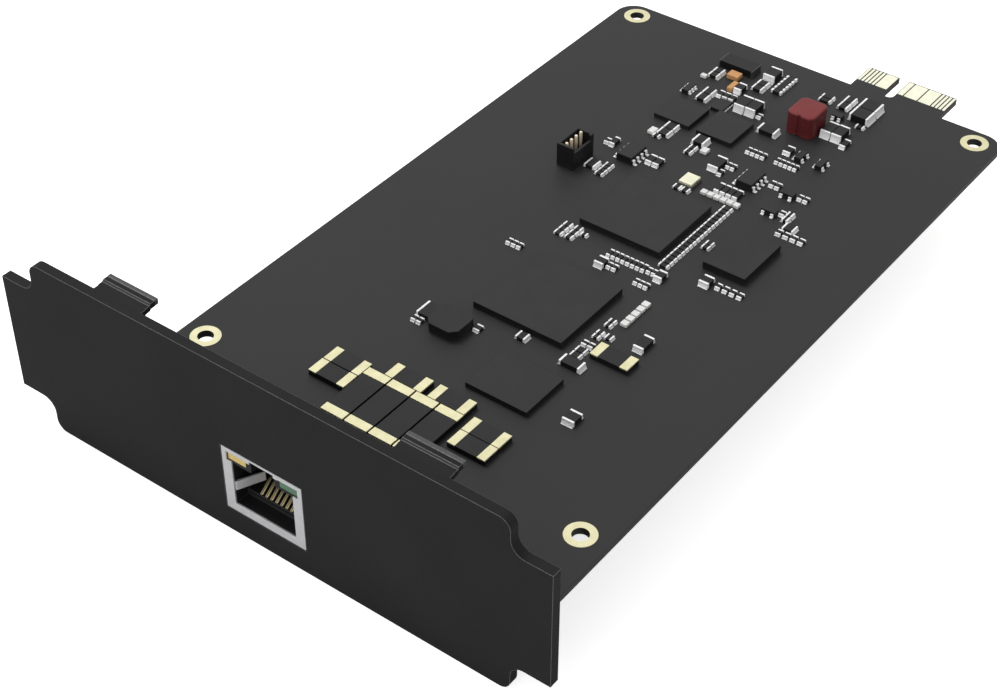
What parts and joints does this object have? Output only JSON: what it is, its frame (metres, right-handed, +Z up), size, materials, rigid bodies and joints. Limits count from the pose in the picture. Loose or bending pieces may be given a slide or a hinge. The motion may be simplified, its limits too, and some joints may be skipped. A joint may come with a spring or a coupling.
{
  "type": "pbx expansion module",
  "caption": "Telephone exchange expansion card: dark stepped front panel with a network jack, populated circuit board behind it, and a keyed edge connector tongue at the far end.",
  "frame": {"origin": "centre of the four mounting holes, on the circuit board's underside", "axes": "+X to the right along the front panel seen from its front, +Y from the panel to the edge connector, +Z up from the board's component side"},
  "size_m": [0.1069, 0.1501, 0.0349],
  "materials": {
    "panel_coat": "satin",
    "board_mask": "satin",
    "gold_plate": "satin",
    "shield_metal": "satin",
    "housing_plastic": "matte",
    "lamp_yellow": "gloss",
    "lamp_green": "gloss",
    "solder": "satin",
    "chip_mould": "matte",
    "ferrite_black": "matte",
    "ferrite_red": "satin",
    "header_plastic": "matte",
    "crystal_ceramic": "matte",
    "pale_ceramic": "satin",
    "brown_ceramic": "matte",
    "capacitor_body": "matte"
  },
  "bodies": {
    "root": {"front_panel": "panel_coat", "circuit_board": "board_mask", "mounting_hole_rings": "gold_plate", "top_edge_contacts": "gold_plate", "bottom_edge_contacts": "gold_plate", "jack_shield": "shield_metal", "jack_housing": "housing_plastic", "jack_contacts": "gold_plate", "jack_ground_springs": "shield_metal", "left_jack_lamp": "lamp_yellow", "right_jack_lamp": "lamp_green", "jack_solder_joints": "solder", "main_processor": "chip_mould", "line_processor": "chip_mould", "interface_chip": "chip_mould", "memory_chip": "chip_mould", "clock_chip": "chip_mould", "control_chip": "chip_mould", "black_inductor": "ferrite_black", "red_inductor": "ferrite_red", "header_shroud": "header_plastic", "header_pins": "gold_plate", "crystal_base": "crystal_ceramic", "crystal_lid": "gold_plate", "gold_end_capacitor_bodies": "capacitor_body", "gold_end_capacitor_plates": "gold_plate", "dark_capacitor_body": "capacitor_body", "dark_capacitor_ends": "solder", "line_filter_bodies": "capacitor_body", "line_filter_plates": "gold_plate", "thin_chip_bodies": "capacitor_body", "thin_chip_terminals": "solder", "medium_chip_bodies": "capacitor_body", "medium_chip_terminals": "solder", "thick_chip_bodies": "capacitor_body", "thick_chip_terminals": "solder", "tall_chip_bodies": "capacitor_body", "tall_chip_terminals": "solder", "pale_chips": "pale_ceramic", "brown_capacitors": "brown_ceramic", "small_outline_bodies": "chip_mould", "small_outline_leads": "solder", "transistor_bodies": "chip_mould", "transistor_leads": "solder", "flat_amplifier_body": "chip_mould", "flat_amplifier_pins": "solder", "resistor_array_body": "capacitor_body", "resistor_array_terminals": "solder"}
  },
  "joints": []
}
